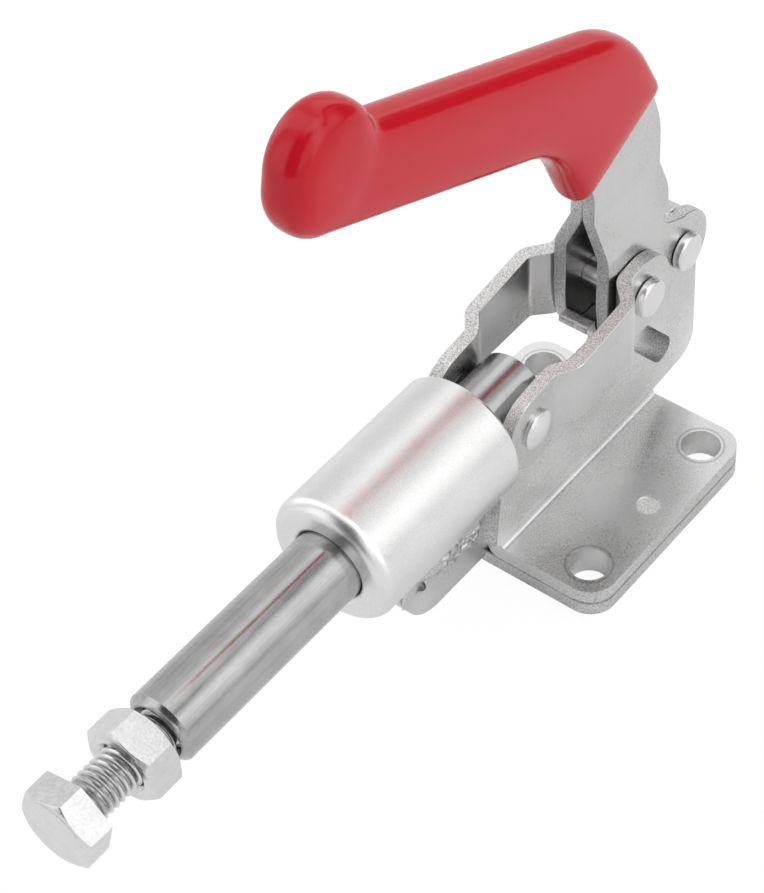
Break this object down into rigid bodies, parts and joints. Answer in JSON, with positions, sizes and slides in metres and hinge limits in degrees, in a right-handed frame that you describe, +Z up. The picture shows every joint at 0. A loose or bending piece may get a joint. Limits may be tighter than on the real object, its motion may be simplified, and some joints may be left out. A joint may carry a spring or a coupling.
{
  "type": "push-pull toggle clamp",
  "caption": "Push-pull toggle clamp: a lever and links drive a guided plunger with an adjustable hexagon bolt, on a folded sheet base with bolt holes.",
  "frame": {"origin": "centre of the four base mounting holes, on the underside of the base plate", "axes": "+X along the plunger towards the bolt head, +Z up from the mounting face, +Y to the left across the clamp"},
  "size_m": [0.1629, 0.047, 0.1267],
  "materials": {
    "zinc_sheet": "satin zinc plate",
    "zinc_barrel": "satin zinc plate",
    "ground_steel": "ground",
    "bright_zinc": "bright zinc plate",
    "rivet_steel": "satin",
    "red_dip": "gloss"
  },
  "bodies": {
    "frame": {"base_plate": "zinc_sheet", "frame_plate_left": "zinc_sheet", "frame_plate_right": "zinc_sheet", "guide_barrel": "zinc_barrel", "barrel_weld_left": "zinc_barrel", "barrel_weld_right": "zinc_barrel", "frame_pin": "rivet_steel"},
    "handle": {"handle_plate_left": "zinc_sheet", "handle_plate_right": "zinc_sheet", "hand_grip": "red_dip", "link_pin": "rivet_steel"},
    "links": {"link_left": "zinc_sheet", "link_right": "zinc_sheet", "link_rivet_left": "rivet_steel", "link_rivet_right": "rivet_steel"},
    "plunger": {"plunger": "ground_steel", "plunger_pin": "rivet_steel"},
    "spindle": {"spindle_bolt": "bright_zinc", "lock_nut": "bright_zinc"}
  },
  "joints": [
    {"name": "handle_turn", "type": "hinge", "parent": "frame", "child": "handle", "pos_m": [-0.0275, 0, 0.0399], "axis": [0, -1, 0], "range_deg": [0, 67.15]},
    {"name": "link_turn", "type": "hinge", "parent": "handle", "child": "links", "pos_m": [-0.0121, 0, 0.0422], "axis": [0, -1, 0], "range_deg": [-90.92, 0]},
    {"name": "plunger_slide", "type": "slide", "parent": "frame", "child": "plunger", "axis": [-1, 0, 0], "range_m": [0, 0.016]},
    {"name": "spindle_adjust", "type": "slide", "parent": "plunger", "child": "spindle", "axis": [1, 0, 0], "range_m": [-0.0015, 0.01]}
  ],
  "couplings": [
    {"joint": "link_turn", "follows": "handle_turn", "ratio": -1.354},
    {"joint": "plunger_slide", "follows": "handle_turn", "m_per_rad": 0.013651}
  ]
}
